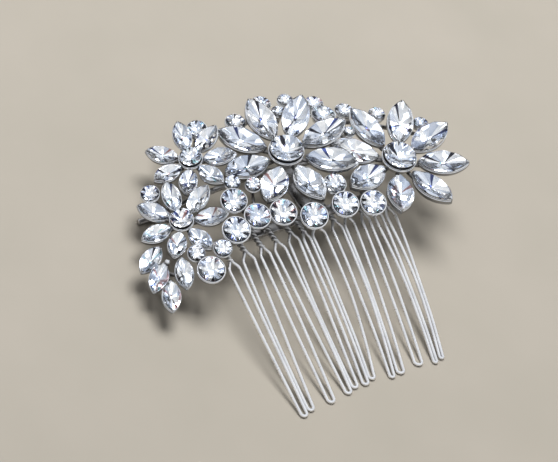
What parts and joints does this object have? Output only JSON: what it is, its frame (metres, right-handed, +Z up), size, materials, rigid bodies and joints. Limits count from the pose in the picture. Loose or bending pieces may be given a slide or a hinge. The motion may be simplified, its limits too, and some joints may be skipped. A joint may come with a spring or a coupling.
{
  "type": "decorative hair comb",
  "caption": "Wire side comb with twisted hairpin teeth under a cluster of crystal flowers set in bright plated castings.",
  "frame": {"origin": "middle of the underside of the whole comb as it lies on a table on its tooth tips and the two feet of its back frame", "axes": "+X along the comb towards the large flowers, -Y along the teeth to their tips, +Z up through the faces of the stones"},
  "size_m": [0.0914, 0.0788, 0.0185],
  "materials": {
    "plated_metal": "bright silver-coloured plating, polished",
    "crystal": "clear cut crystal with a foiled back"
  },
  "bodies": {
    "root": {"hairpin_01": "plated_metal", "hairpin_02": "plated_metal", "hairpin_03": "plated_metal", "hairpin_04": "plated_metal", "hairpin_05": "plated_metal", "hairpin_06": "plated_metal", "hairpin_07": "plated_metal", "hairpin_08": "plated_metal", "hairpin_09": "plated_metal", "hairpin_10": "plated_metal", "hairpin_11": "plated_metal", "hairpin_12": "plated_metal", "flower_1_casting": "plated_metal", "flower_1_centre": "crystal", "flower_1_petal_1": "crystal", "flower_1_petal_2": "crystal", "flower_1_petal_3": "crystal", "flower_1_petal_4": "crystal", "flower_1_petal_5": "crystal", "flower_1_petal_6": "crystal", "flower_1_petal_7": "crystal", "flower_1_petal_8": "crystal", "flower_2_casting": "plated_metal", "flower_2_centre": "crystal", "flower_2_petal_1": "crystal", "flower_2_petal_2": "crystal", "flower_2_petal_3": "crystal", "flower_2_petal_4": "crystal", "flower_2_petal_5": "crystal", "flower_2_petal_6": "crystal", "flower_2_petal_7": "crystal", "flower_2_petal_8": "crystal", "flower_3_casting": "plated_metal", "flower_3_centre": "crystal", "flower_3_petal_1": "crystal", "flower_3_petal_2": "crystal", "flower_3_petal_3": "crystal", "flower_3_petal_4": "crystal", "flower_3_petal_5": "crystal", "flower_3_petal_6": "crystal", "flower_3_petal_7": "crystal", "flower_4_casting": "plated_metal", "flower_4_centre": "crystal", "flower_4_petal_1": "crystal", "flower_4_petal_2": "crystal", "flower_4_petal_3": "crystal", "flower_4_petal_4": "crystal", "flower_4_petal_5": "crystal", "flower_4_petal_6": "crystal", "flower_4_petal_7": "crystal", "spray_casting": "plated_metal", "spray_petal_1": "crystal", "spray_petal_2": "crystal", "spray_petal_3": "crystal", "spray_petal_4": "crystal", "front_cup_row": "plated_metal", "rear_cup_row": "plated_metal", "back_frame": "plated_metal"}
  },
  "joints": []
}
